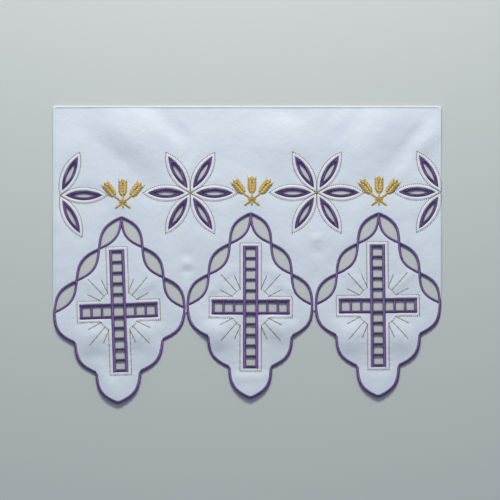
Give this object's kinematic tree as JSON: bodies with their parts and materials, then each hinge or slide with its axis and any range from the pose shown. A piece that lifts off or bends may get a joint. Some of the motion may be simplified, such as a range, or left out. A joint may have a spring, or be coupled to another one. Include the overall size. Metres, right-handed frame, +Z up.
{
  "type": "altar cloth border",
  "caption": "Flat altar cloth border with scalloped lappets, open ladder crosses, purple satin edging and petal flowers, and gold sheaf ornaments.",
  "frame": {"origin": "middle of the outline's box, on the surface that the cloth lies on", "axes": "+X along the border, +Y from the lappets towards the straight cut edge, +Z up from the surface"},
  "size_m": [0.457, 0.3506, 0.0053],
  "materials": {
    "white_fabric": "satin weave",
    "purple_thread": "satin stitch",
    "gold_thread": "satin stitch"
  },
  "bodies": {
    "root": {"cloth": "white_fabric", "edging.left": "purple_thread", "edging.middle": "purple_thread", "edging.right": "purple_thread", "cross.left": "purple_thread", "cross.middle": "purple_thread", "cross.right": "purple_thread", "petal.first.1": "purple_thread", "petal.first.2": "purple_thread", "petal.first.3": "purple_thread", "petal.second.1": "purple_thread", "petal.second.2": "purple_thread", "petal.second.3": "purple_thread", "petal.second.4": "purple_thread", "petal.second.5": "purple_thread", "petal.second.6": "purple_thread", "petal.third.1": "purple_thread", "petal.third.2": "purple_thread", "petal.third.3": "purple_thread", "petal.third.4": "purple_thread", "petal.third.5": "purple_thread", "petal.third.6": "purple_thread", "petal.fourth.1": "purple_thread", "petal.fourth.2": "purple_thread", "petal.fourth.3": "purple_thread", "sheaf.left": "gold_thread", "sheaf.middle": "gold_thread", "sheaf.right": "gold_thread"}
  },
  "joints": []
}
